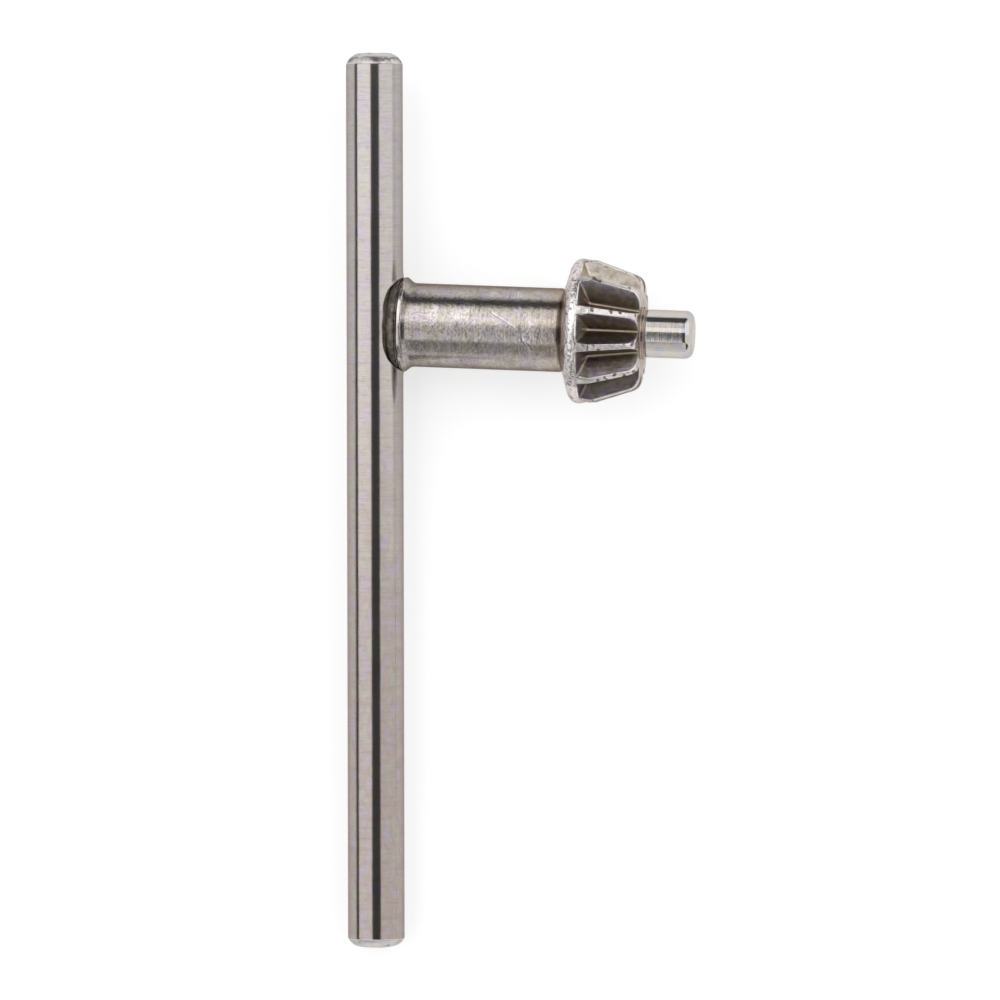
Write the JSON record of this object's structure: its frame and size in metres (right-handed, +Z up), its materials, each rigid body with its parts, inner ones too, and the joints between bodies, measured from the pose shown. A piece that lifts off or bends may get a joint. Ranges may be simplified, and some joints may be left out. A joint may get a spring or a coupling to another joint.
{
  "type": "drill chuck key",
  "caption": "T-shaped key for a geared drill chuck: a round cross bar welded to a short shank that ends in a straight-toothed bevel pinion and a pilot.",
  "frame": {"origin": "middle of the footprint, on the flat surface that the key lies on", "axes": "+Y along the cross bar towards its short arm, +X towards the pilot, +Z up; the body's own axis rises 7.9 degrees towards +X and leans 2.4 degrees towards -Y"},
  "size_m": [0.043, 0.11, 0.0177],
  "materials": {
    "bar_steel": "bright ground steel with fine lines around the bar",
    "body_steel": "hardened turned steel, heat tinted and worn, with brown stains in the tooth spaces"
  },
  "bodies": {
    "root": {"handle_bar": "bar_steel", "pinion_shank": "body_steel"}
  },
  "joints": []
}
